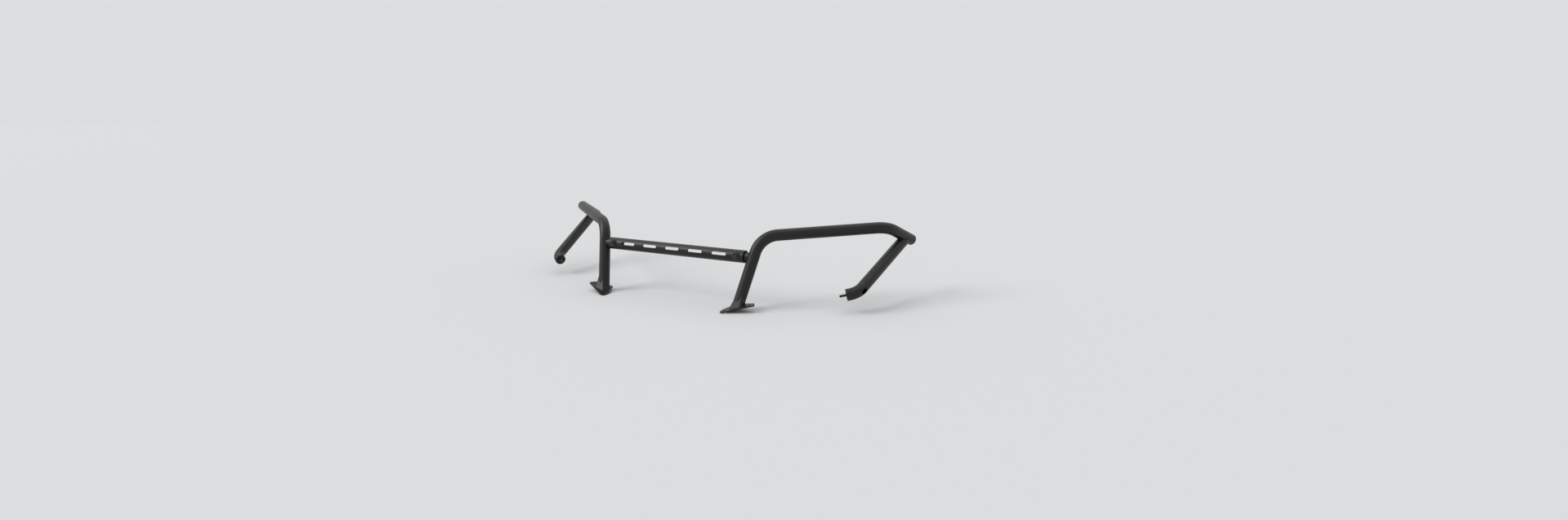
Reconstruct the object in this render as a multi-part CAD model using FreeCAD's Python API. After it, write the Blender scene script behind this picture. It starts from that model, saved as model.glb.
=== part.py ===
import FreeCAD, Part
import math
import os

from FreeCAD import Placement, Rotation, Vector

# Tube guard that bolts on top of the front bumper of a utility vehicle. Two bent tube hoops
# stand on foot plates, sweep out and back round the bonnet, and come down through a brace
# and an elbow to the bumper's side tubes. A slotted cross bar joins the two legs.
#
# Millimetres. X runs across the vehicle and +X is the driver's left, the front faces -Y, and
# Z is up. The origin lies midway between the two feet, where the leg axes meet the plates.
# The left half is modelled, and the right half is its mirror image in the plane X = 0.

# Tubes
TUBE_OD = 44.45
TUBE_WALL = 3.05
WELD_GAP = 0.15
FIT = 0.15

# Leg, from the foot up to the corner where it turns into the top rail
FOOT_HALF_SPACING = 318.0
LEG_RISE = 253.0
LEG_LEAN_OUT = 51.5
LEG_LEAN_BACK = 88.0
LEG_BEND_RADIUS = 97.0

# Top rail and tail, each from one corner to the next
RAIL_OUT = 398.5
RAIL_BACK = 295.5
RAIL_RISE = 17.0
TAIL_OUT = 49.5
TAIL_BACK = 159.5
TAIL_DROP = 72.5
TAIL_BEND_RADIUS = 120.0

# Cap that closes the tail
CAP_THICKNESS = 3.0
CAP_SPIGOT = 9.0
CAP_BEVEL = 1.2

# Brace, from its seat under the tail down to the elbow's corner. Its axis passes a little
# inboard of the tail's, and its upper end is trimmed level with the tail's lower quarter.
BRACE_SEAT_FROM_END = 33.0
BRACE_SEAT_INBOARD = 3.0
BRACE_IN = 77.0
BRACE_FORWARD = 350.0
BRACE_DROP = 151.5
BRACE_TRIM = 6.0

# Elbow between the brace and the bumper's side tube
ELBOW_SWEEP_DEG = 28.4
ELBOW_DROP_DEG = 11.3
ELBOW_RADIUS = 70.0
ELBOW_UPPER_ARM = 48.0
ELBOW_LOWER_ARM = 43.0
ELBOW_WALL = 4.0
NECK_LENGTH = 25.0
NECK_OVERLAP = 6.0
NECK_WALL = 3.0
ACCESS_HOLE = 21.0

# Plug, bolt and washer in the elbow's lower end
PLUG_THICKNESS = 9.0
PLUG_RECESS = 1.5
ELBOW_BOLT = 10.0
ELBOW_BOLT_PITCH_DIAMETER = 9.03
ELBOW_BOLT_STANDS_OUT = 26.0
ELBOW_BOLT_HEAD_WIDTH = 17.0
ELBOW_BOLT_HEAD = 6.4
ELBOW_WASHER_OD = 20.0
ELBOW_WASHER = 2.0

# Foot plate: it rises outwards and towards the back, as the bumper's wing under it does.
# Its corners and holes are measured from the leg's foot, outwards and towards the back.
PLATE_THICKNESS = 4.0
PLATE_TILT_OUT_DEG = 11.0
PLATE_TILT_BACK_DEG = 4.0
PLATE_FRONT_TIP = (-52.0, -72.0)
PLATE_OUTER = (75.0, -6.0)
PLATE_REAR_OUTER = (60.0, 20.0)
PLATE_REAR_INNER = (-21.0, 32.0)
PLATE_INNER = (-48.0, -25.0)
PLATE_TIP_RADIUS = 14.0
PLATE_CORNER_RADIUS = 7.0
PLATE_HOLE = 10.5
FRONT_HOLE_AT = (-33.0, -49.0)
OUTER_HOLE_AT = (52.0, -4.0)

# Shoe: a pyramid gusset round the front and the sides of the leg, open at the back. Its
# base is set by how far it passes the leg's side and the leg's front.
SHOE_FRONT_OUTER_PAST_LEG = (4.8, 4.8)
SHOE_FRONT_INNER_PAST_LEG = (1.8, 10.8)
SHOE_REAR_OUTER_PAST_LEG = 5.3
SHOE_REAR_INNER_PAST_LEG = 3.3
SHOE_BEHIND_AXIS = 6.0
SHOE_APEX = 145.0
SHOE_CUT_OFF = 0.33
SHOE_EDGE_RADIUS = 9.0

# Cross bar, with its slots in the front and one long window in the back
BAR_OD = 48.3
BAR_WALL = 3.0
BAR_HEIGHT = 175.5
BAR_END_GAP = 12.0
SLOT_COUNT = 5
SLOT_TO_BOLT = 44.0
SLOT_LENGTH = 64.0
SLOT_WIDTH = 11.0
WINDOW_HEIGHT = 22.0
WINDOW_TO_SADDLE = 2.0

# Stub and bushing that carry each end of the bar
STUB_OD = 33.4
STUB_WALL = 3.4
STUB_PAST_BOLT = 17.0
BUSHING_RECESS = 2.0

# Bolts across the bar, with a saddle washer at the front and the back
BAR_BOLT = 12.0
BAR_BOLT_FROM_END = 28.0
BOLT_CLEARANCE = 1.0
BUTTON_HEAD_OD = 21.0
BUTTON_HEAD = 6.6
BUTTON_SOCKET = 8.0
BUTTON_SOCKET_DEPTH = 4.0
SADDLE_OD = 31.0
SADDLE_CROWN = 2.5
SADDLE_BEVEL = 0.8
NUT_WIDTH = 18.0
NUT_HEIGHT = 10.8
BOLT_PAST_NUT = 3.0
THREAD_CHAMFER = 1.2

TUBE_RADIUS = TUBE_OD / 2.0
TUBE_BORE = TUBE_OD - 2 * TUBE_WALL
BAR_BORE = BAR_OD - 2 * BAR_WALL
ELBOW_BORE = TUBE_OD - 2 * ELBOW_WALL

X_AXIS = Vector(1, 0, 0)
Z_AXIS = Vector(0, 0, 1)
FAR = 1000.0


def unit(vector):
    return vector * (1.0 / vector.Length)


def rod(start, direction, length, diameter):
    """A solid round bar."""
    return Part.makeCylinder(diameter / 2.0, length, start, direction)


def pipe(start, direction, length, outer, inner):
    """A straight round tube, or a ring."""
    return rod(start, direction, length, outer).cut(rod(start, direction, length, inner))


def placed(shape, point, direction):
    """A shape modelled on +Z at the origin, stood on a point along a direction."""
    copy = shape.copy()
    copy.Placement = Placement(point, Rotation(Z_AXIS, direction))
    return copy


def above(point, normal):
    """The space on the normal's side of a plane."""
    block = Part.makeBox(2 * FAR, 2 * FAR, FAR, Vector(-FAR, -FAR, 0))
    return placed(block, point, normal)


def bent_path(corners, radii):
    """Straight runs between corners, joined by tangent arcs of the given radii."""
    edges = []
    run_start = corners[0]
    for before, corner, after, radius in zip(corners, corners[1:], corners[2:], radii):
        towards_before = unit(before - corner)
        towards_after = unit(after - corner)
        half = towards_before.getAngle(towards_after) / 2.0
        setback = radius / math.tan(half)
        arc_start = corner + towards_before * setback
        arc_end = corner + towards_after * setback
        inward = unit(towards_before + towards_after)
        arc_middle = corner + inward * (radius / math.sin(half) - radius)
        edges.append(Part.makeLine(run_start, arc_start))
        edges.append(Part.Arc(arc_start, arc_middle, arc_end).toShape())
        run_start = arc_end
    edges.append(Part.makeLine(run_start, corners[-1]))
    return Part.Wire(edges)


def swept_rod(corners, radii, diameter):
    """A round bar that follows a bent path."""
    start_direction = unit(corners[1] - corners[0])
    circle = Part.Wire(Part.makeCircle(diameter / 2.0, corners[0], start_direction))
    return bent_path(corners, radii).makePipeShell([circle], True, False)


def flat_polygon(points, height):
    """A closed outline through points given as x and y, at one height."""
    return Part.makePolygon([Vector(x, y, height) for x, y in points + points[:1]])


def obround(length, width):
    """A round-ended cutter along X that passes right through the bar along Z."""
    half_run = (length - width) / 2.0
    cutter = Part.makeBox(2 * half_run, width, BAR_OD, Vector(-half_run, -width / 2.0, 0))
    for end in (-half_run, half_run):
        cutter = cutter.fuse(Part.makeCylinder(width / 2.0, BAR_OD, Vector(end, 0, 0)))
    return cutter.removeSplitter()


def hexagon(width, height):
    """A hexagonal prism that stands on Z = 0, with its upper corners turned off."""
    corner = width / math.sqrt(3.0)
    angles = [math.radians(60.0 * k) for k in range(7)]
    outline = [Vector(corner * math.cos(a), corner * math.sin(a), 0) for a in angles]
    prism = Part.Face(Part.makePolygon(outline)).extrude(Vector(0, 0, height))
    slope = math.tan(math.radians(30.0))
    cone_top = width / 2.0 * 0.98
    cone = Part.makeCone(cone_top + height / slope, cone_top, height)
    return prism.common(cone)


def button_head():
    """The low domed head of the bar's bolt on Z = 0, with its hexagon socket."""
    radius = BUTTON_HEAD_OD / 2.0
    land = BUTTON_SOCKET * 0.72
    rim = BUTTON_HEAD * 0.2
    shoulder = Vector(radius, 0, rim)
    crown = Vector(land, 0, BUTTON_HEAD)
    bulge = Vector((radius + land) * 0.56, 0, BUTTON_HEAD * 0.77)
    edges = [
        Part.makeLine(Vector(0, 0, 0), Vector(radius, 0, 0)),
        Part.makeLine(Vector(radius, 0, 0), shoulder),
        Part.Arc(shoulder, bulge, crown).toShape(),
        Part.makeLine(crown, Vector(0, 0, BUTTON_HEAD)),
        Part.makeLine(Vector(0, 0, BUTTON_HEAD), Vector(0, 0, 0)),
    ]
    head = Part.Face(Part.Wire(edges)).revolve(Vector(0, 0, 0), Z_AXIS, 360)
    corner = BUTTON_SOCKET / math.sqrt(3.0)
    angles = [math.radians(60.0 * k) for k in range(7)]
    floor = BUTTON_HEAD - BUTTON_SOCKET_DEPTH
    outline = [Vector(corner * math.cos(a), corner * math.sin(a), floor) for a in angles]
    socket = Part.Face(Part.makePolygon(outline)).extrude(Vector(0, 0, BUTTON_HEAD))
    return head.cut(socket)


def shank(diameter, length):
    """A bolt's shank below Z = 0, with a chamfered tip."""
    radius = diameter / 2.0
    body = Part.makeCylinder(radius, length - THREAD_CHAMFER, Vector(0, 0, 0), -Z_AXIS)
    tip = Part.makeCone(radius, radius - THREAD_CHAMFER, THREAD_CHAMFER,
                        Vector(0, 0, THREAD_CHAMFER - length), -Z_AXIS)
    return body.fuse(tip)


# Corners of the left hoop and its brace
foot = Vector(FOOT_HALF_SPACING, 0, 0)
leg_top = foot + Vector(LEG_LEAN_OUT, LEG_LEAN_BACK, LEG_RISE)
rail_end = leg_top + Vector(RAIL_OUT, RAIL_BACK, RAIL_RISE)
tail_end = rail_end + Vector(TAIL_OUT, TAIL_BACK, -TAIL_DROP)
leg_direction = unit(leg_top - foot)
tail_direction = unit(tail_end - rail_end)
tail_seat = tail_end - tail_direction * BRACE_SEAT_FROM_END
brace_seat = tail_seat - X_AXIS * BRACE_SEAT_INBOARD
elbow_corner = brace_seat - Vector(BRACE_IN, BRACE_FORWARD, BRACE_DROP)
brace_direction = unit(elbow_corner - brace_seat)
brace_length = (elbow_corner - brace_seat).Length

# Direction of the bumper's side tube, from the elbow's corner inwards
sweep = math.radians(ELBOW_SWEEP_DEG)
drop = math.radians(ELBOW_DROP_DEG)
arm_direction = Vector(-math.cos(drop) * math.cos(sweep),
                       -math.cos(drop) * math.sin(sweep), -math.sin(drop))
arm_end = elbow_corner + arm_direction * ELBOW_LOWER_ARM
elbow_bolt_hole = ELBOW_BOLT + BOLT_CLEARANCE

# Foot plate's plane, which holds the foot point
plate_normal = unit(Vector(-math.tan(math.radians(PLATE_TILT_OUT_DEG)),
                           -math.tan(math.radians(PLATE_TILT_BACK_DEG)), 1))

# Cross bar's axis runs through both legs, and its bolts stand square to them
leg_share = BAR_HEIGHT / LEG_RISE
bar_centre = Vector(0, LEG_LEAN_BACK * leg_share, BAR_HEIGHT)
leg_at_bar = Vector(FOOT_HALF_SPACING + LEG_LEAN_OUT * leg_share, bar_centre.y, bar_centre.z)
leg_half_width = TUBE_RADIUS / math.cos(math.atan2(LEG_LEAN_OUT, LEG_RISE))
bar_half_length = leg_at_bar.x - leg_half_width - BAR_END_GAP
bar_front = unit(Vector(0, -LEG_RISE, LEG_LEAN_BACK))
bar_bolt_x = bar_half_length - BAR_BOLT_FROM_END
bar_bolt_hole = BAR_BOLT + BOLT_CLEARANCE
slot_pitch = (2 * (bar_bolt_x - SLOT_TO_BOLT) - SLOT_LENGTH) / (SLOT_COUNT - 1)
saddle_top = BAR_OD / 2.0 + SADDLE_CROWN
stub_inner_end = Vector(bar_bolt_x - STUB_PAST_BOLT, bar_centre.y, bar_centre.z)


def hoop():
    """Leg, top rail and tail, bent from one tube and cut off on the foot plate."""
    below_foot = foot - leg_direction * TUBE_OD
    corners = [below_foot, leg_top, rail_end, tail_end]
    radii = [LEG_BEND_RADIUS, TAIL_BEND_RADIUS]
    outside = swept_rod(corners, radii, TUBE_OD)
    inside = swept_rod(corners, radii, TUBE_BORE)
    return outside.cut(inside).common(above(foot, plate_normal))


def tail_solid(extra):
    """The tail's outside with some clearance, to cope what meets it."""
    return rod(rail_end, tail_direction, (tail_end - rail_end).Length, TUBE_OD + 2 * extra)


def leg_solid(extra):
    """The leg's outside with some clearance, to cope or bore what meets it."""
    start = foot - leg_direction * TUBE_OD
    return rod(start, leg_direction, (leg_top - start).Length, TUBE_OD + 2 * extra)


def tail_cap():
    """A flat cap with a bevelled rim and a short spigot in the tube."""
    rim = Part.makeCylinder(TUBE_RADIUS, CAP_THICKNESS)
    outer_edge = [e for e in rim.Edges if e.Closed and e.CenterOfMass.z > CAP_THICKNESS / 2.0]
    rim = rim.makeChamfer(CAP_BEVEL, outer_edge)
    spigot = Part.makeCylinder(TUBE_BORE / 2.0 - FIT, CAP_SPIGOT, Vector(0, 0, 0), -Z_AXIS)
    return placed(rim.fuse(spigot), tail_end, tail_direction)


def brace():
    """A straight tube, coped to the underside of the tail and trimmed beside it."""
    start = brace_seat - brace_direction * TUBE_OD
    length = TUBE_OD + brace_length - ELBOW_UPPER_ARM
    tube = pipe(start, brace_direction, length, TUBE_OD, TUBE_BORE)
    away_from_tail = unit(brace_direction - tail_direction * brace_direction.dot(tail_direction))
    kept_side = above(tail_seat + away_from_tail * BRACE_TRIM, away_from_tail)
    return tube.cut(tail_solid(WELD_GAP)).common(kept_side)


def elbow():
    """A bent coupler with a stepped neck in the brace and a hole for a socket wrench."""
    seam = elbow_corner - brace_direction * ELBOW_UPPER_ARM
    corners = [seam, elbow_corner, arm_end]
    outside = swept_rod(corners, [ELBOW_RADIUS], TUBE_OD)
    body = outside.cut(swept_rod(corners, [ELBOW_RADIUS], ELBOW_BORE))
    neck_od = TUBE_BORE - 2 * FIT
    neck = pipe(seam + brace_direction * NECK_OVERLAP, -brace_direction,
                NECK_LENGTH + NECK_OVERLAP, neck_od, neck_od - 2 * NECK_WALL)
    access = rod(elbow_corner, -arm_direction, TUBE_OD * 1.5, ACCESS_HOLE)
    return body.fuse(neck).cut(access).removeSplitter()


def elbow_plug():
    """The turned disc in the elbow's lower end, drilled for the bolt."""
    outer_face = arm_end - arm_direction * PLUG_RECESS
    return pipe(outer_face, -arm_direction, PLUG_THICKNESS, ELBOW_BORE - 2 * FIT, elbow_bolt_hole)


def elbow_washer():
    """A plain washer on the inner face of the plug."""
    seat = arm_end - arm_direction * (PLUG_RECESS + PLUG_THICKNESS)
    return pipe(seat, -arm_direction, ELBOW_WASHER, ELBOW_WASHER_OD, elbow_bolt_hole)


def elbow_bolt():
    """A hexagon bolt along the bumper's side tube, with its thread at the pitch diameter."""
    grip = PLUG_RECESS + PLUG_THICKNESS + ELBOW_WASHER
    head = hexagon(ELBOW_BOLT_HEAD_WIDTH, ELBOW_BOLT_HEAD)
    plain = Part.makeCylinder(ELBOW_BOLT / 2.0, grip, Vector(0, 0, 0), -Z_AXIS)
    thread = shank(ELBOW_BOLT_PITCH_DIAMETER, grip + ELBOW_BOLT_STANDS_OUT)
    return placed(head.fuse(plain).fuse(thread), arm_end - arm_direction * grip, -arm_direction)


def foot_plate():
    """A flat five-cornered plate with a hole at its tip and one at its outer end."""
    corners = [PLATE_FRONT_TIP, PLATE_OUTER, PLATE_REAR_OUTER, PLATE_REAR_INNER, PLATE_INNER]
    plate = Part.Face(flat_polygon(corners, 0)).extrude(Vector(0, 0, -PLATE_THICKNESS))
    for x, y in corners:
        radius = PLATE_TIP_RADIUS if (x, y) == PLATE_FRONT_TIP else PLATE_CORNER_RADIUS
        upright = [e for e in plate.Edges if all(abs(v.X - x) + abs(v.Y - y) < 0.01 for v in e.Vertexes)]
        plate = plate.makeFillet(radius, upright)
    for x, y in (FRONT_HOLE_AT, OUTER_HOLE_AT):
        plate = plate.cut(rod(Vector(x, y, -PLATE_THICKNESS), Z_AXIS, PLATE_THICKNESS, PLATE_HOLE))
    return placed(plate, foot, plate_normal)


def foot_shoe():
    """A pyramid gusset whose arrises run out on the leg, so that its rim is scalloped."""
    turn = Rotation(Z_AXIS, plate_normal)
    apex = turn.inverted().multVec(leg_direction * SHOE_APEX)
    out, ahead = SHOE_FRONT_OUTER_PAST_LEG
    inward, ahead_inside = SHOE_FRONT_INNER_PAST_LEG
    corners = [(TUBE_RADIUS + out, -TUBE_RADIUS - ahead),
               (-TUBE_RADIUS - inward, -TUBE_RADIUS - ahead_inside),
               (-TUBE_RADIUS - SHOE_REAR_INNER_PAST_LEG, SHOE_BEHIND_AXIS),
               (TUBE_RADIUS + SHOE_REAR_OUTER_PAST_LEG, SHOE_BEHIND_AXIS)]
    top_corners = [(x + (apex.x - x) * SHOE_CUT_OFF, y + (apex.y - y) * SHOE_CUT_OFF)
                   for x, y in corners]
    wires = [flat_polygon(corners, 0), flat_polygon(top_corners, apex.z * SHOE_CUT_OFF)]
    pyramid = Part.makeLoft(wires, True, True)
    front_arrises = [e for e in pyramid.Edges
                     if abs(e.Vertexes[0].Z - e.Vertexes[1].Z) > 1.0
                     and min(v.Y for v in e.Vertexes) < 0]
    pyramid = pyramid.makeFillet(SHOE_EDGE_RADIUS, front_arrises)
    return placed(pyramid, foot, plate_normal).cut(leg_solid(FIT))


def bolt_passage():
    """The straight hole that the bar's left bolt passes through."""
    start = bar_centre + X_AXIS * bar_bolt_x - bar_front * BAR_OD
    return rod(start, bar_front, 2 * BAR_OD, bar_bolt_hole)


def bar_stub():
    """A short smaller tube, coped to the leg and running into the cross bar."""
    length = leg_at_bar.x - stub_inner_end.x
    tube = pipe(stub_inner_end, X_AXIS, length, STUB_OD, STUB_OD - 2 * STUB_WALL)
    return tube.cut(leg_solid(WELD_GAP)).cut(bolt_passage())


def bar_bushing():
    """The bushing that fills the gap between the stub and the cross bar."""
    length = bar_half_length - BUSHING_RECESS - stub_inner_end.x
    ring = pipe(stub_inner_end, X_AXIS, length, BAR_BORE - 2 * FIT, STUB_OD + 2 * FIT)
    return ring.cut(bolt_passage())


def cross_bar():
    """The straight tube between the legs, with its slots, its window and its bolt holes."""
    start = bar_centre - X_AXIS * bar_half_length
    bar = pipe(start, X_AXIS, 2 * bar_half_length, BAR_OD, BAR_BORE)
    slot = obround(SLOT_LENGTH, SLOT_WIDTH)
    for number in range(SLOT_COUNT):
        along = (number - (SLOT_COUNT - 1) / 2.0) * slot_pitch
        bar = bar.cut(placed(slot, bar_centre + X_AXIS * along, bar_front))
    window_length = 2 * (bar_bolt_x - SADDLE_OD / 2.0 - WINDOW_TO_SADDLE)
    bar = bar.cut(placed(obround(window_length, WINDOW_HEIGHT), bar_centre, -bar_front))
    passage = bolt_passage()
    return bar.cut(passage).cut(mirrored(passage))


def saddle(side):
    """A round washer whose under face follows the bar; side is the way that it faces."""
    start = bar_centre + X_AXIS * bar_bolt_x
    disc = Part.makeCylinder(SADDLE_OD / 2.0, saddle_top)
    rim = [e for e in disc.Edges if e.Closed and e.CenterOfMass.z > saddle_top / 2.0]
    disc = placed(disc.makeChamfer(SADDLE_BEVEL, rim), start, side)
    bar = rod(bar_centre, X_AXIS, FAR, BAR_OD + 2 * FIT)
    return disc.cut(bar).cut(bolt_passage())


def bar_bolt():
    """A button-head bolt from the front saddle to past the nut."""
    length = 2 * saddle_top + NUT_HEIGHT + BOLT_PAST_NUT
    bolt = button_head().fuse(shank(BAR_BOLT, length))
    return placed(bolt, bar_centre + X_AXIS * bar_bolt_x + bar_front * saddle_top, bar_front)


def bar_nut():
    """The hexagon nut on the rear saddle."""
    hole = Part.makeCylinder(BAR_BOLT / 2.0 + FIT, NUT_HEIGHT)
    nut = hexagon(NUT_WIDTH, NUT_HEIGHT).cut(hole)
    return placed(nut, bar_centre + X_AXIS * bar_bolt_x - bar_front * saddle_top, -bar_front)


def mirrored(shape):
    """The right-hand copy of a left-hand piece."""
    return shape.mirror(Vector(0, 0, 0), X_AXIS)


def write(name, shape):
    solids = shape.Solids
    if len(solids) != 1 or not shape.isValid():
        raise ValueError(f"{name}: {len(solids)} solids, valid {shape.isValid()}")
    solids[0].exportStep(f"parts/{name}.step")
    print(f"{name:22s} volume {solids[0].Volume / 1000.0:9.2f} cm3  faces {len(solids[0].Faces)}")


os.makedirs("parts", exist_ok=True)

handed_pieces = {
    "hoop": hoop(),
    "tail_cap": tail_cap(),
    "brace": brace(),
    "elbow": elbow(),
    "elbow_plug": elbow_plug(),
    "elbow_washer": elbow_washer(),
    "elbow_bolt": elbow_bolt(),
    "foot_plate": foot_plate(),
    "foot_shoe": foot_shoe(),
    "bar_stub": bar_stub(),
    "bar_bushing": bar_bushing(),
    "bar_saddle_front": saddle(bar_front),
    "bar_saddle_rear": saddle(-bar_front),
    "bar_bolt": bar_bolt(),
    "bar_nut": bar_nut(),
}
for piece_name, left_piece in handed_pieces.items():
    write(f"{piece_name}_left", left_piece)
    write(f"{piece_name}_right", mirrored(left_piece))
write("cross_bar", cross_bar())
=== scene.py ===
import math

import bmesh
import bpy
from mathutils import Matrix, Vector
from mathutils.bvhtree import BVHTree


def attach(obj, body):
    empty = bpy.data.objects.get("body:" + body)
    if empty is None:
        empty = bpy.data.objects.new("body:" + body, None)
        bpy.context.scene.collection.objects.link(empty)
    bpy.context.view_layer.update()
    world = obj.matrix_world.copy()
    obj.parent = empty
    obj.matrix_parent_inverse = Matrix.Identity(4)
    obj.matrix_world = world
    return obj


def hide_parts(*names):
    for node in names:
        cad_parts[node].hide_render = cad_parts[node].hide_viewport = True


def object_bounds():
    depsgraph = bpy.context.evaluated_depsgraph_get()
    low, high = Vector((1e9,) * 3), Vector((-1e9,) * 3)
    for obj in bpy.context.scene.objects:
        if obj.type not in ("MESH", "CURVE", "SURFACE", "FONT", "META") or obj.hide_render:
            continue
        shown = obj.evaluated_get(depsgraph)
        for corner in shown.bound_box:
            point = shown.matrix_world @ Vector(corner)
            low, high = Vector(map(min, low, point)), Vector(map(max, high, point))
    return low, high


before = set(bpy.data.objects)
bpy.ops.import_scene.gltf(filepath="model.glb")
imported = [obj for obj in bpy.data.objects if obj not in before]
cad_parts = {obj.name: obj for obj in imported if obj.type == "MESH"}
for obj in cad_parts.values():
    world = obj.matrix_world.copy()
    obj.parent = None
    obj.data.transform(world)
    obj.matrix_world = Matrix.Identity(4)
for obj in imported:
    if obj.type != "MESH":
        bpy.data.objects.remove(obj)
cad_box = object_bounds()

# The hoops: one bent steel tube each side, from the foot up the leg, back along the top
# rail and down the tail. They are blasted and powder coated satin black after welding, and
# the coat lies a little thin and dull on every edge, where its colour is also lightened in
# patches as a painted edge highlight.


class Wire:
    """One output of a finish's nodes. Sums written with wires add their own nodes."""

    def __init__(self, finish, socket):
        self.finish = finish
        self.socket = socket

    def maths(self, operation, first, second):
        return self.finish.node("ShaderNodeMath", {"operation": operation}, {0: first, 1: second})

    def __add__(self, other):
        return self.maths("ADD", self, other)

    def __radd__(self, other):
        return self.maths("ADD", other, self)

    def __mul__(self, other):
        return self.maths("MULTIPLY", self, other)

    def __rmul__(self, other):
        return self.maths("MULTIPLY", other, self)


class Finish:
    """A material, or the surround, while its nodes are being laid out."""

    def __init__(self, owner):
        owner.use_nodes = True
        self.owner = owner
        self.tree = owner.node_tree

    def fill(self, node, inputs):
        """Sets a node's sockets to values, or joins wires to them."""
        for name, value in inputs.items():
            if isinstance(value, Wire):
                self.tree.links.new(value.socket, node.inputs[name])
            else:
                node.inputs[name].default_value = value

    def node(self, kind, settings, inputs, output=0):
        """Adds a node, sets it up, fills its sockets and gives back one of its outputs."""
        made = self.tree.nodes.new(kind)
        for name, value in settings.items():
            setattr(made, name, value)
        self.fill(made, inputs)
        return Wire(self, made.outputs[output])

    def grain(self, size, detail=2.0):
        """Noise on the piece's own coordinates, with grains of about that size in metres."""
        here = self.node("ShaderNodeTexCoord", {}, {}, "Object")
        return self.node("ShaderNodeTexNoise", {}, {
            "Vector": here, "Scale": 1.0 / size, "Detail": detail, "Roughness": 0.55})

    def mask(self, wire, low, high):
        """A wire spread smoothly so that low becomes 0 and high becomes 1."""
        return self.node("ShaderNodeMapRange", {"interpolation_type": "SMOOTHSTEP"}, {
            "Value": wire, "From Min": low, "From Max": high, "To Min": 0.0, "To Max": 1.0})

    def mix(self, share, plain, other):
        """One colour with a share of another."""
        return self.node("ShaderNodeMix", {"data_type": "RGBA"}, {0: share, 6: plain, 7: other}, 2)

    def eased(self, radius):
        """The surface normal with every edge rounded off by a radius in metres."""
        return self.node("ShaderNodeBevel", {"samples": 4}, {"Radius": radius})

    def edges(self, rounded):
        """1 along the piece's edges, where the rounded normal turns away from the real one."""
        flat = self.node("ShaderNodeNewGeometry", {}, {}, "Normal")
        alike = self.node("ShaderNodeVectorMath", {"operation": "DOT_PRODUCT"},
                          {0: rounded, 1: flat}, "Value")
        return self.mask(alike, 0.995, 0.88)


def powder_coat(name, black, thin_highlit):
    """Satin black powder: orange peel over a fine speck, cloudy gloss, thin on the edges, with a painted
    highlight lightening the edges.
    """
    coat = Finish(bpy.data.materials.new(name))
    rounded = coat.eased(0.0009)
    edge = coat.edges(rounded)
    cloud = coat.mask(coat.grain(0.110, 3.0), 0.30, 0.70)
    peel = coat.grain(0.0019, 1.0)
    speck = coat.grain(0.0006, 1.0)
    # Lightens the edges in patches: partly thinner coat, partly a painted edge highlight.
    worn_and_highlit = edge * coat.mask(coat.grain(0.004), 0.42, 0.62)
    skin = coat.node("ShaderNodeBump", {}, {
        "Strength": 0.30, "Distance": 0.00012, "Height": peel + 0.45 * speck, "Normal": rounded})
    coat.fill(coat.tree.nodes["Principled BSDF"], {
        "Base Color": coat.mix(0.8 * worn_and_highlit + 0.2 * cloud, black, thin_highlit),
        "Roughness": 0.37 + 0.05 * cloud + 0.08 * edge,
        "Normal": skin,
        "Specular IOR Level": 0.34,
    })
    return coat.owner


def dress(material, *names):
    """Gives the finish to the modelled nodes of both sides."""
    for name in names:
        for side in ("left", "right"):
            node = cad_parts[f"{name}_{side}"]
            node.data.materials.clear()
            node.data.materials.append(material)


coat_black = (0.0080, 0.0080, 0.0085, 1.0)
# The lighter edge colour: thin coat, and partly a painted highlight on the edges.
coat_thin_highlit = (0.019, 0.019, 0.020, 1.0)
satin_black = powder_coat("satin_black_coat", coat_black, coat_thin_highlit)
dress(satin_black, "hoop")

tube_radius = 0.022225
tube_bore_radius = 0.019175
foot = Vector((0.318, 0.0, 0.0))
leg_top = Vector((0.3695, 0.088, 0.253))
rail_end = Vector((0.768, 0.3835, 0.270))
tail_end = Vector((0.8175, 0.543, 0.1975))
leg_line = (leg_top - foot).normalized()
tail_line = (tail_end - rail_end).normalized()
outwards = Vector((1.0, 0.0, 0.0))
upwards = Vector((0.0, 0.0, 1.0))

# The feet: a flat plate under each leg and a pressed gusset round the leg's front and
# sides. Both are steel and welded before coating: one bead runs up and down along the
# gusset's rim, and one goes round the foot on the plate.
dress(satin_black, "foot_plate", "foot_shoe")


def hand_over(form, name, material, stands_for=None, sharp=40.0):
    """Makes the left piece and its mirror image from one form, and hands both to the frame."""
    for side in ("left", "right"):
        if side == "right":
            bmesh.ops.scale(form, vec=(-1.0, 1.0, 1.0), verts=form.verts)
            bmesh.ops.reverse_faces(form, faces=form.faces)
        mesh = bpy.data.meshes.new(f"{name}_{side}")
        form.to_mesh(mesh)
        mesh.shade_smooth()
        mesh.set_sharp_from_angle(angle=math.radians(sharp))
        mesh.materials.append(material)
        piece = bpy.data.objects.new(f"{name}_{side}", mesh)
        bpy.context.scene.collection.objects.link(piece)
        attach(piece, "root")
        if stands_for:
            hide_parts(f"{stands_for}_{side}")
    form.free()


def square_to(arrow, line):
    """What is left of an arrow when its share along a line is taken off."""
    return arrow - line * arrow.dot(line)


def frame_on(point, axis, towards):
    """The matrix that puts +Z on an axis and +X as near as it can to a second direction."""
    up = axis.normalized()
    ahead = square_to(towards, up).normalized()
    turn = Matrix((ahead, up.cross(ahead), up)).transposed()
    return Matrix.Translation(point) @ turn.to_4x4()


def spoke_of(place, degrees):
    """The direction straight out from a frame's axis at an angle round it."""
    turned_to = math.radians(degrees)
    return place.to_3x3() @ Vector((math.cos(turned_to), math.sin(turned_to), 0.0))


def surface_of(*names):
    """The nodes' surfaces, to find where a ray meets them."""
    form = bmesh.new()
    for name in names:
        form.from_mesh(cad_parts[name].data)
    surface = BVHTree.FromBMesh(form)
    form.free()
    return surface


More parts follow.
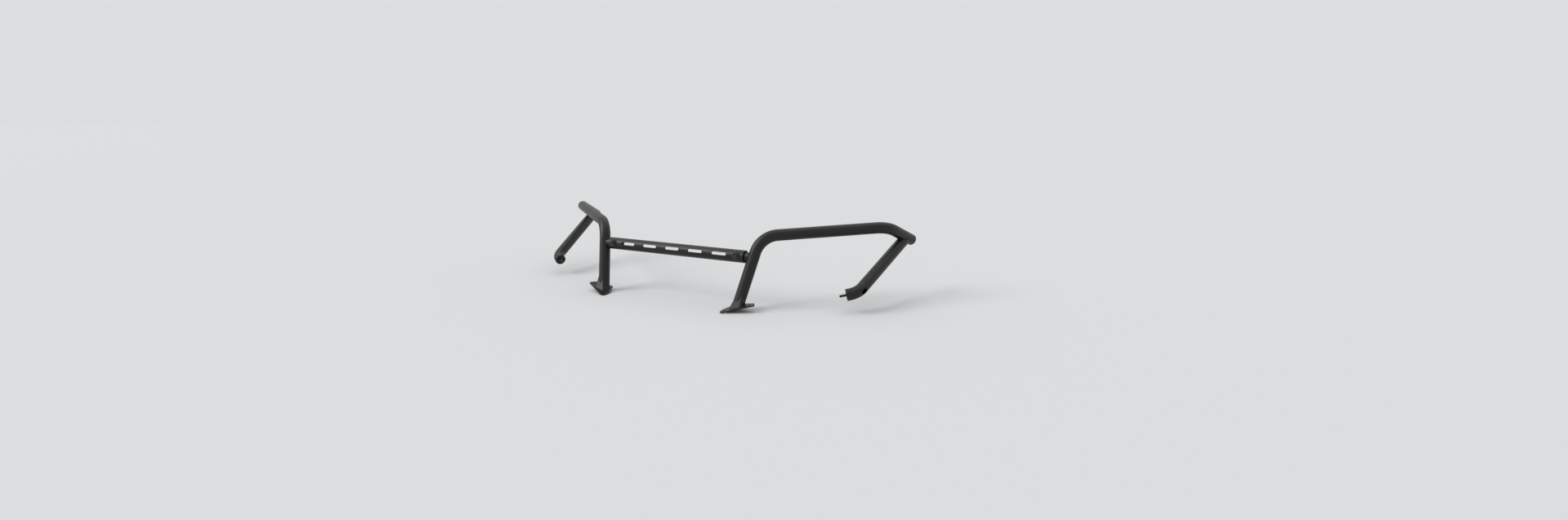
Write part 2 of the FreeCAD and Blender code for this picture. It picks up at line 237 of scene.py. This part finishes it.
def even_steps(line, step, closed):
    """The same line cut into equal steps of about that length, each with its outward way."""
    knots = line + line[:1] if closed else line
    lengths = [(after[0] - before[0]).length for before, after in zip(knots, knots[1:])]
    count = max(8, round(sum(lengths) / step))
    places = []
    for number in range(count if closed else count + 1):
        along = sum(lengths) * number / count
        piece = 0
        while piece < len(lengths) - 1 and along > lengths[piece]:
            along -= lengths[piece]
            piece += 1
        share = along / lengths[piece] if lengths[piece] else 0.0
        places.append((knots[piece][0].lerp(knots[piece + 1][0], share),
                       knots[piece][1].lerp(knots[piece + 1][1], share).normalized()))
    return places


def weld_bead(name, line, width, ripple=0.0021, closed=True):
    """A row of rings bridged into a rippled bead, whose ripples arch forward as weld does."""
    swell = (1.0, 0.975, 0.93, 0.86)
    lean = math.radians(32.0)
    places = even_steps(line, ripple / len(swell), closed)
    count = len(places)
    bead = bmesh.new()
    rings = []
    for number, (point, outward) in enumerate(places):
        before = places[number - 1][0] if closed or number else point
        after = places[(number + 1) % count][0] if closed or number < count - 1 else point
        along = (after - before).normalized()
        across = along.cross(outward).normalized()
        leaning = Matrix.Rotation(lean, 3, across) @ along
        ring = bmesh.ops.create_circle(
            bead, cap_ends=False, segments=10, radius=0.5 * width * swell[number % len(swell)],
            matrix=frame_on(point, leaning, outward))
        rings.append(list(dict.fromkeys(edge for vert in ring["verts"] for edge in vert.link_edges)))
    for before, after in zip(rings, rings[1:] + (rings[:1] if closed else [])):
        bmesh.ops.bridge_loops(bead, edges=before + after)
    if not closed:
        for ring in (rings[0], rings[-1]):
            bmesh.ops.edgeloop_fill(bead, edges=ring)
    bmesh.ops.recalc_face_normals(bead, faces=bead.faces)
    hand_over(bead, name, satin_black)


foot_bead_sunk = 0.0006
plate_rises_outwards = math.radians(11.0)
plate_rises_backwards = math.radians(4.0)
leg_frame = frame_on(foot, leg_line, outwards)
plate_normal = Vector((-math.tan(plate_rises_outwards), -math.tan(plate_rises_backwards), 1.0)).normalized()
plate_frame = frame_on(foot, plate_normal, outwards)
gusset = surface_of("foot_shoe_left")
gusset_and_leg = surface_of("foot_shoe_left", "hoop_left")

# A ray runs down the leg just outside it, at each angle where the gusset stands round it.
rim_line = []
for degrees in range(-195, 9, 2):
    spoke = spoke_of(leg_frame, degrees)
    start = foot + spoke * (tube_radius + 0.0009) + leg_line * 0.1
    hit = gusset.ray_cast(start, -leg_line)[0]
    rim_line.append((hit - spoke * foot_bead_sunk, (spoke + leg_line).normalized()))
weld_bead("gusset_rim_weld", rim_line, 0.0030, closed=False)

# A ray runs inwards close over the plate, at each angle, to what stands there.
base_line = []
for degrees in range(0, 360, 2):
    spoke = spoke_of(plate_frame, degrees)
    start = foot + spoke * 0.080 + plate_normal * 0.0008
    hit = gusset_and_leg.ray_cast(start, -spoke)[0]
    base_line.append((hit - plate_normal * foot_bead_sunk, (spoke + plate_normal).normalized()))
weld_bead("foot_weld", base_line, 0.0038)

# The braces: straight tubes coped to the tails' undersides and welded all round. Their
# lower rims are turned off at an angle, so a fine groove shows where each elbow starts.
brace_seat = Vector((0.8055, 0.5141, 0.2106))
elbow_corner = Vector((0.72853, 0.16409, 0.05914))
elbow_upper_arm = 0.048
seat_from_tail_end = 0.033
trimmed_past_tail_axis = 0.006
brace_line = (elbow_corner - brace_seat).normalized()
elbow_seam = elbow_corner - brace_line * elbow_upper_arm
away_from_tail = square_to(brace_line, tail_line).normalized()
trim_point = tail_end - tail_line * seat_from_tail_end + away_from_tail * trimmed_past_tail_axis

seam_gap = 0.0002
rim_turned_off = 0.0011
left_to_trim = 0.030
brace_frame = frame_on(elbow_seam, -brace_line, outwards)
uncut_length = (brace_seat - elbow_seam).length + left_to_trim
brace_outline = [(tube_bore_radius, seam_gap), (tube_radius - rim_turned_off, seam_gap),
                 (tube_radius, rim_turned_off + seam_gap), (tube_radius, uncut_length),
                 (tube_bore_radius, uncut_length)]


def turned(form, outline, place, closed=True, steps=72):
    """Turns an outline of radius and height about +Z, then stands it in its place."""
    corners = [form.verts.new((radius, 0.0, height)) for radius, height in outline]
    runs = [form.edges.new(pair) for pair in zip(corners, corners[1:])]
    if closed:
        runs.append(form.edges.new((corners[-1], corners[0])))
    bmesh.ops.spin(form, geom=corners + runs, cent=(0.0, 0.0, 0.0), axis=(0.0, 0.0, 1.0),
                   angle=2.0 * math.pi, steps=steps, use_merge=True)
    bmesh.ops.remove_doubles(form, verts=form.verts, dist=1e-7)
    bmesh.ops.transform(form, matrix=place, verts=form.verts)
    bmesh.ops.recalc_face_normals(form, faces=form.faces)


brace_tube = bmesh.new()
turned(brace_tube, brace_outline, brace_frame)
everything = brace_tube.verts[:] + brace_tube.edges[:] + brace_tube.faces[:]
bmesh.ops.bisect_plane(brace_tube, geom=everything, plane_co=trim_point, plane_no=away_from_tail,
                       clear_inner=True)
bmesh.ops.bridge_loops(brace_tube, edges=[edge for edge in brace_tube.edges if edge.is_boundary])
bmesh.ops.recalc_face_normals(brace_tube, faces=brace_tube.faces)
hand_over(brace_tube, "brace_tube", satin_black, stands_for="brace", sharp=25.0)


def meets_tube(start, way, tube_point, tube_line, radius):
    """How far along a line it first meets a round tube, or None where it passes beside."""
    flat_way = square_to(way, tube_line)
    flat_offset = square_to(start - tube_point, tube_line)
    a = flat_way.dot(flat_way)
    b = flat_way.dot(flat_offset)
    c = flat_offset.dot(flat_offset) - radius * radius
    if b * b < a * c:
        return None
    return (-b - math.sqrt(b * b - a * c)) / a


# The bead follows the coped end: each line up the brace stops at the tail or at the trim.
brace_bead_line = []
for degrees in range(0, 360, 3):
    spoke = spoke_of(brace_frame, degrees)
    start = elbow_seam + spoke * tube_radius
    to_trim = (trim_point - start).dot(away_from_tail) / -brace_line.dot(away_from_tail)
    to_tail = meets_tube(start, -brace_line, rail_end, tail_line, tube_radius)
    reach = to_trim if to_tail is None else min(to_tail, to_trim)
    point = start - brace_line * reach
    from_tail = square_to(point - rail_end, tail_line).normalized()
    brace_bead_line.append((point, (spoke + from_tail).normalized()))
weld_bead("brace_weld", brace_bead_line, 0.0042)

# The tail caps: flat discs with a bevelled rim that close the tails, held by a fine weld
# that is dressed nearly flush before coating.
dress(satin_black, "tail_cap")
cap_bead_sunk = 0.0006
cap_bead_line = []
cap_frame = frame_on(tail_end, tail_line, upwards)
for degrees in range(0, 360, 4):
    spoke = spoke_of(cap_frame, degrees)
    cap_bead_line.append((tail_end + spoke * (tube_radius - cap_bead_sunk), spoke))
weld_bead("cap_weld", cap_bead_line, 0.0020, ripple=0.0016)

# The elbows: bent couplers with a neck inside each brace, a plug in the lower end, and a
# round hole that a socket reaches the bolt by. They are coated apart from the braces.
dress(satin_black, "elbow", "elbow_plug")

# The stubs and the cross bar: a short smaller tube welded to each leg, and the slotted
# bar that slides over both. All of them are coated like the hoops.
dress(satin_black, "bar_stub")
cross_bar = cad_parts["cross_bar"]
cross_bar.data.materials.clear()
cross_bar.data.materials.append(satin_black)

bar_centre = Vector((0.0, 0.06104, 0.1755))
stub_radius = 0.0167
stub_bead_line = []
for degrees in range(0, 360, 4):
    spoke = Vector((0.0, math.cos(math.radians(degrees)), math.sin(math.radians(degrees))))
    start = bar_centre + spoke * stub_radius
    point = start + outwards * meets_tube(start, outwards, foot, leg_line, tube_radius)
    from_leg = square_to(point - foot, leg_line).normalized()
    stub_bead_line.append((point, (spoke + from_leg).normalized()))
weld_bead("stub_weld", stub_bead_line, 0.0042)

# Bolts, washers and nuts: zinc-plated steel with a black skin, a little glossier than the
# coat, and rubbed grey on the corners by the spanner.


def black_zinc(name, black, rubbed):
    """Black passivated zinc: metallic, patchy, with a fine plated tooth."""
    plating = Finish(bpy.data.materials.new(name))
    rounded = plating.eased(0.0004)
    edge = plating.edges(rounded)
    patch = plating.mask(plating.grain(0.006, 3.0), 0.35, 0.65)
    skin = plating.node("ShaderNodeBump", {}, {
        "Strength": 0.25, "Distance": 0.0001, "Height": plating.grain(0.0005), "Normal": rounded})
    plating.fill(plating.tree.nodes["Principled BSDF"], {
        "Base Color": plating.mix(0.7 * edge + 0.2 * patch, black, rubbed),
        "Roughness": 0.30 + 0.12 * patch,
        "Metallic": 0.8,
        "Normal": skin,
    })
    return plating.owner


zinc_black = (0.028, 0.028, 0.030, 1.0)
zinc_rubbed = (0.11, 0.106, 0.10, 1.0)
zinc = black_zinc("black_zinc", zinc_black, zinc_rubbed)
dress(zinc, "elbow_bolt", "elbow_washer", "bar_nut", "bar_saddle_front", "bar_saddle_rear")


def rolled_thread(name, root, crest, pitch, length, place, tip_taper):
    """A closed helical ridge round +Z, up to a length, that sinks into the shank at the tip."""
    steps = 24
    turns = max(1, round(length / pitch) - 1)
    inside = root - 0.0003
    outline = [(inside, pitch * 0.02), (crest, pitch * 0.42), (crest, pitch * 0.58), (inside, pitch * 0.98)]
    taper_slope = 0.8
    ridge = bmesh.new()
    corners = [ridge.verts.new((radius, 0.0, height)) for radius, height in outline]
    runs = [ridge.edges.new(pair) for pair in zip(corners, corners[1:] + corners[:1])]
    bmesh.ops.spin(ridge, geom=corners + runs, cent=(0.0, 0.0, 0.0), axis=(0.0, 0.0, 1.0),
                   dvec=(0.0, 0.0, pitch / steps), angle=2.0 * math.pi * turns, steps=steps * turns)
    bmesh.ops.holes_fill(ridge, edges=[edge for edge in ridge.edges if edge.is_boundary], sides=4)
    for corner in ridge.verts:
        radius = math.hypot(corner.co.x, corner.co.y)
        to_tip = max(0.0, length - tip_taper - corner.co.z)
        allowed = min(crest, root + to_tip * taper_slope)
        if radius > allowed:
            corner.co.x *= allowed / radius
            corner.co.y *= allowed / radius
    bmesh.ops.transform(ridge, matrix=place, verts=ridge.verts)
    bmesh.ops.recalc_face_normals(ridge, faces=ridge.faces)
    hand_over(ridge, name, zinc, sharp=60.0)


# The elbow bolts' threads: rolled on the end that stands out of each elbow, ten
# millimetres across at one and a half a turn.
arm_sweep = math.radians(28.4)
arm_drop = math.radians(11.3)
elbow_lower_arm = 0.043
arm_line = Vector((-math.cos(arm_drop) * math.cos(arm_sweep), -math.cos(arm_drop) * math.sin(arm_sweep),
                   -math.sin(arm_drop)))
arm_end = elbow_corner + arm_line * elbow_lower_arm
rolled_thread("elbow_bolt_thread", root=0.00440, crest=0.00495, pitch=0.0015, length=0.0255,
              place=frame_on(arm_end - arm_line * 0.0005, arm_line, upwards), tip_taper=0.0016)

# The bar bolts: low domed heads with a hexagon socket at the front, a plain shank
# through bar and stub, and a threaded end past the nut.
bar_front = Vector((0.0, -0.9445, 0.3285)).normalized()
bolt_from_middle = 0.29104
head_seat_from_bar_axis = 0.02665
socket_half_width = 0.0040
socket_mouth_height = 0.0061
socket_depth = 0.0035
thread_starts_below_head = 0.0504
bolt_on_bar_axis = bar_centre + outwards * bolt_from_middle
head_frame = frame_on(bolt_on_bar_axis + bar_front * head_seat_from_bar_axis, bar_front, outwards)
dome_outline = [(0.0058, 0.0066), (0.0066, 0.00655), (0.0079, 0.0058), (0.0092, 0.0043),
                (0.0100, 0.0028), (0.0105, 0.0013), (0.0105, 0.0003), (0.0103, 0.0)]
shank_outline = [(0.0061, 0.0), (0.0061, -0.0010), (0.0060, -0.0012), (0.0060, -0.0500),
                 (0.0052, -0.0508), (0.0052, -0.0662), (0.0044, -0.0671)]


def open_rim(form, lowest, highest):
    """The open edges that lie between two heights."""
    return [edge for edge in form.edges
            if edge.is_boundary and all(lowest < vert.co.z < highest for vert in edge.verts)]


def drawn_on(form, rim):
    """Extrudes an open rim, and gives back the new corners for moving."""
    grown = bmesh.ops.extrude_edge_only(form, edges=rim)
    return [item for item in grown["geom"] if isinstance(item, bmesh.types.BMVert)]


bar_bolt = bmesh.new()
turned(bar_bolt, dome_outline + shank_outline, Matrix.Identity(4), closed=False, steps=48)
for corner in drawn_on(bar_bolt, open_rim(bar_bolt, 0.006, 0.010)):
    angle = math.atan2(corner.co.y, corner.co.x)
    from_flat = (angle + math.pi / 6.0) % (math.pi / 3.0) - math.pi / 6.0
    reach = socket_half_width / math.cos(from_flat)
    corner.co = (reach * math.cos(angle), reach * math.sin(angle), socket_mouth_height)
socket_floor = drawn_on(bar_bolt, open_rim(bar_bolt, 0.005, 0.010))
bmesh.ops.translate(bar_bolt, verts=socket_floor, vec=(0.0, 0.0, -socket_depth))
bmesh.ops.holes_fill(bar_bolt, edges=open_rim(bar_bolt, 0.0, 0.010), sides=0)
bmesh.ops.holes_fill(bar_bolt, edges=open_rim(bar_bolt, -0.070, -0.050), sides=0)
bmesh.ops.transform(bar_bolt, matrix=head_frame, verts=bar_bolt.verts)
bmesh.ops.recalc_face_normals(bar_bolt, faces=bar_bolt.faces)
hand_over(bar_bolt, "domed_bolt", zinc, stands_for="bar_bolt", sharp=35.0)

thread_start = bolt_on_bar_axis + bar_front * (head_seat_from_bar_axis - thread_starts_below_head)
rolled_thread("domed_bolt_thread", root=0.0051, crest=0.00595, pitch=0.00175, length=0.0166,
              place=frame_on(thread_start, -bar_front, outwards), tip_taper=0.0015)

# The bushings: turned rings of black nylon between the stubs and the bar, pressed in dry.
# They are left as turned, matt with faint scuffs.


def black_nylon(name, black, scuffed):
    """Matt black nylon with faint scuffs."""
    plastic = Finish(bpy.data.materials.new(name))
    patch = plastic.mask(plastic.grain(0.008, 3.0), 0.35, 0.7)
    rounded = plastic.eased(0.0006)
    skin = plastic.node("ShaderNodeBump", {}, {
        "Strength": 0.3, "Distance": 0.0001, "Height": plastic.grain(0.0007), "Normal": rounded})
    plastic.fill(plastic.tree.nodes["Principled BSDF"], {
        "Base Color": plastic.mix(patch, black, scuffed),
        "Roughness": 0.52 + 0.12 * patch,
        "Normal": skin,
        "Specular IOR Level": 0.35,
    })
    return plastic.owner


nylon_black = (0.006, 0.006, 0.006, 1.0)
nylon_scuffed = (0.012, 0.012, 0.012, 1.0)
dress(black_nylon("black_nylon", nylon_black, nylon_scuffed), "bar_bushing")

# The studio: a plain pale floor under the feet and a pale surround of the same tone, with
# one broad soft lamp from the viewer's left and one overhead.
floor_colour = (0.68, 0.685, 0.69, 1.0)
surround_light = (0.50, 0.503, 0.507, 1.0)
surround_seen = (0.718, 0.726, 0.734, 1.0)
floor_height = cad_box[0][2] - 0.0003
floor_form = bmesh.new()
bmesh.ops.create_circle(floor_form, cap_ends=True, segments=96, radius=80.0)
bmesh.ops.translate(floor_form, verts=floor_form.verts, vec=(0.0, 0.0, floor_height))
floor_mesh = bpy.data.meshes.new("studio_floor")
floor_form.to_mesh(floor_mesh)
floor_form.free()
studio_floor = bpy.data.objects.new("studio_floor", floor_mesh)
bpy.context.scene.collection.objects.link(studio_floor)

pale_floor = Finish(bpy.data.materials.new("pale_floor"))
pale_floor.fill(pale_floor.tree.nodes["Principled BSDF"], {
    "Base Color": floor_colour, "Roughness": 0.9, "Specular IOR Level": 0.1})
floor_mesh.materials.append(pale_floor.owner)

surround = Finish(bpy.data.worlds.new("studio_surround"))
camera_ray, glossy_ray, clear_ray = [
    surround.node("ShaderNodeLightPath", {}, {}, kind)
    for kind in ("Is Camera Ray", "Is Glossy Ray", "Is Transmission Ray")]
seen = surround.node("ShaderNodeMath", {"operation": "ADD", "use_clamp": True},
                     {0: camera_ray + glossy_ray, 1: clear_ray})
surround.fill(surround.tree.nodes["Background"], {
    "Color": surround.mix(seen, surround_light, surround_seen), "Strength": 1.0})
bpy.context.scene.world = surround.owner


def soft_lamp(name, strength, spread, towards):
    """A broad lamp far away that shines in one direction."""
    light = bpy.data.lights.new(name, "SUN")
    light.energy = strength
    light.angle = math.radians(spread)
    lamp = bpy.data.objects.new(name, light)
    lamp.rotation_euler = Vector(towards).to_track_quat("-Z", "Y").to_euler()
    bpy.context.scene.collection.objects.link(lamp)


soft_lamp("side_lamp", strength=1.6, spread=34.0, towards=(0.66, 0.48, -0.62))
soft_lamp("overhead_lamp", strength=0.8, spread=80.0, towards=(0.12, -0.30, -1.0))

# The camera stands at the picture's viewing angle, above the rail and on the viewer's
# right of the middle, turned in towards the cross bar.
camera_stands = Vector((1.5050, -2.0869, 0.7158))
camera_right = (0.8903, 0.4553, -0.00757)
camera_up = (-0.07482, 0.16265, 0.98384)
camera_back = (0.44918, -0.87535, 0.17888)
lens = bpy.data.cameras.new("picture_camera")
lens.sensor_width = 36.0
lens.lens = 15.356
lens.shift_x = 0.01205
lens.shift_y = -0.01796
lens.clip_end = 300.0
camera = bpy.data.objects.new("picture_camera", lens)
facing = Matrix((camera_right, camera_up, camera_back)).transposed()
camera.matrix_world = Matrix.Translation(camera_stands) @ facing.to_4x4()
bpy.context.scene.collection.objects.link(camera)
bpy.context.scene.camera = camera
bpy.context.scene.view_settings.view_transform = "Standard"
